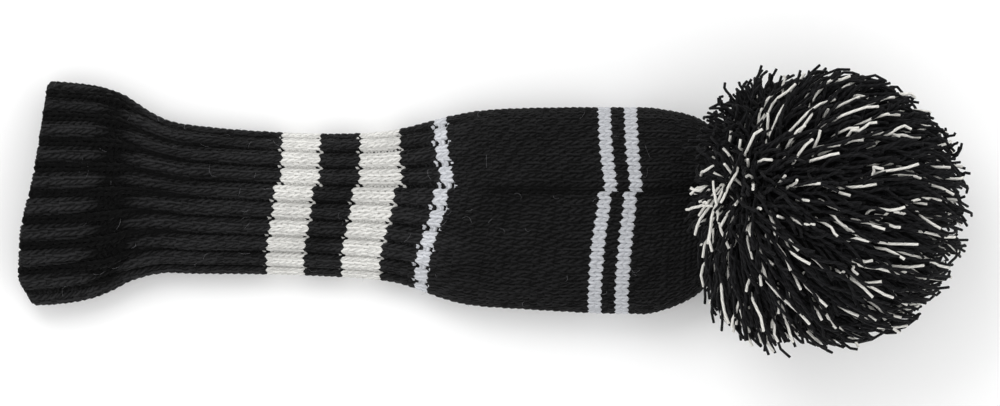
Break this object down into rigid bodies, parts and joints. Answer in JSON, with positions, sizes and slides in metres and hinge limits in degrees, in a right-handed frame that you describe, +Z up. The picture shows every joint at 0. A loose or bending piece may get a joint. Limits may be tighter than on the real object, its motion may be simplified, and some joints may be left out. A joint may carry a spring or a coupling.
{
  "type": "golf driver head cover",
  "caption": "Knitted driver head cover lying flat: flared ribbed cuff, long ribbed neck with wide stripes, plain-knit head pouch with thin stripes, large yarn pom-pom.",
  "frame": {"origin": "middle of the lying cover's outline, on the surface it lies on", "axes": "+X along the cover from the open cuff to the pom-pom, +Z up from the surface, +Y to the left when looking along +X"},
  "size_m": [0.45, 0.1326, 0.1263],
  "materials": {
    "black_yarn": "knitted worsted yarn, charcoal black, matte with light fuzz",
    "white_yarn": "knitted worsted yarn, warm white, matte with light fuzz",
    "lining_yarn": "knitted worsted yarn, charcoal black, inner layer",
    "tie_cord": "twisted black tying cord",
    "pompom_black": "cut plied yarn, black, matte",
    "pompom_white": "cut plied yarn, off-white, matte"
  },
  "bodies": {
    "head": {"neck_rib_upper": "black_yarn", "thin_stripe_neck": "white_yarn", "head_lower": "black_yarn", "thin_stripe_head": "white_yarn", "head_between_stripes": "black_yarn", "thin_stripe_crown": "white_yarn", "crown": "black_yarn", "crown_gathering_thread": "black_yarn", "lining_neck_fold": "lining_yarn", "lining_head": "lining_yarn", "lining_crown": "lining_yarn"},
    "neck": {"neck_flare": "black_yarn", "neck_rib_lower": "black_yarn", "wide_stripe_lower": "white_yarn", "neck_rib_middle": "black_yarn", "wide_stripe_upper": "white_yarn", "lining_neck_flare": "lining_yarn", "lining_neck": "lining_yarn"},
    "cuff": {"cuff_hem": "black_yarn", "cuff_rib": "black_yarn", "lining_cuff": "lining_yarn"},
    "pompom_tie": {"pompom_tie_knot": "tie_cord", "pompom_tie_cord": "tie_cord"},
    "pompom_hitch": {"pompom_tie_hitch": "tie_cord"},
    "pompom": {"pompom_black_yarn": "pompom_black", "pompom_white_yarn": "pompom_white", "pompom_binding": "tie_cord"}
  },
  "joints": [
    {"name": "neck_fold", "type": "hinge", "parent": "head", "child": "neck", "pos_m": [-0.03545, 0.0007, 0.0165], "axis": [0, 1, 0], "range_deg": [-55, 55], "deforming": ["neck_rib_upper", "thin_stripe_neck", "lining_neck_fold"]},
    {"name": "cuff_fold", "type": "hinge", "parent": "neck", "child": "cuff", "pos_m": [-0.161, 0.0066, 0.014], "axis": [0, 1, 0], "range_deg": [-60, 60], "deforming": ["neck_flare", "lining_neck_flare"]},
    {"name": "pompom_twist", "type": "hinge", "parent": "head", "child": "pompom_tie", "pos_m": [0.1215, 0.004, 0.031], "axis": [1, 0, 0], "range_deg": [-60, 60]},
    {"name": "pompom_nod", "type": "hinge", "parent": "pompom_tie", "child": "pompom_hitch", "pos_m": [0.1215, 0.004, 0.031], "axis": [0, 1, 0], "range_deg": [-18, 18]},
    {"name": "pompom_sway", "type": "hinge", "parent": "pompom_hitch", "child": "pompom", "pos_m": [0.1215, 0.004, 0.031], "axis": [0, 0, 1], "range_deg": [-18, 18]}
  ]
}
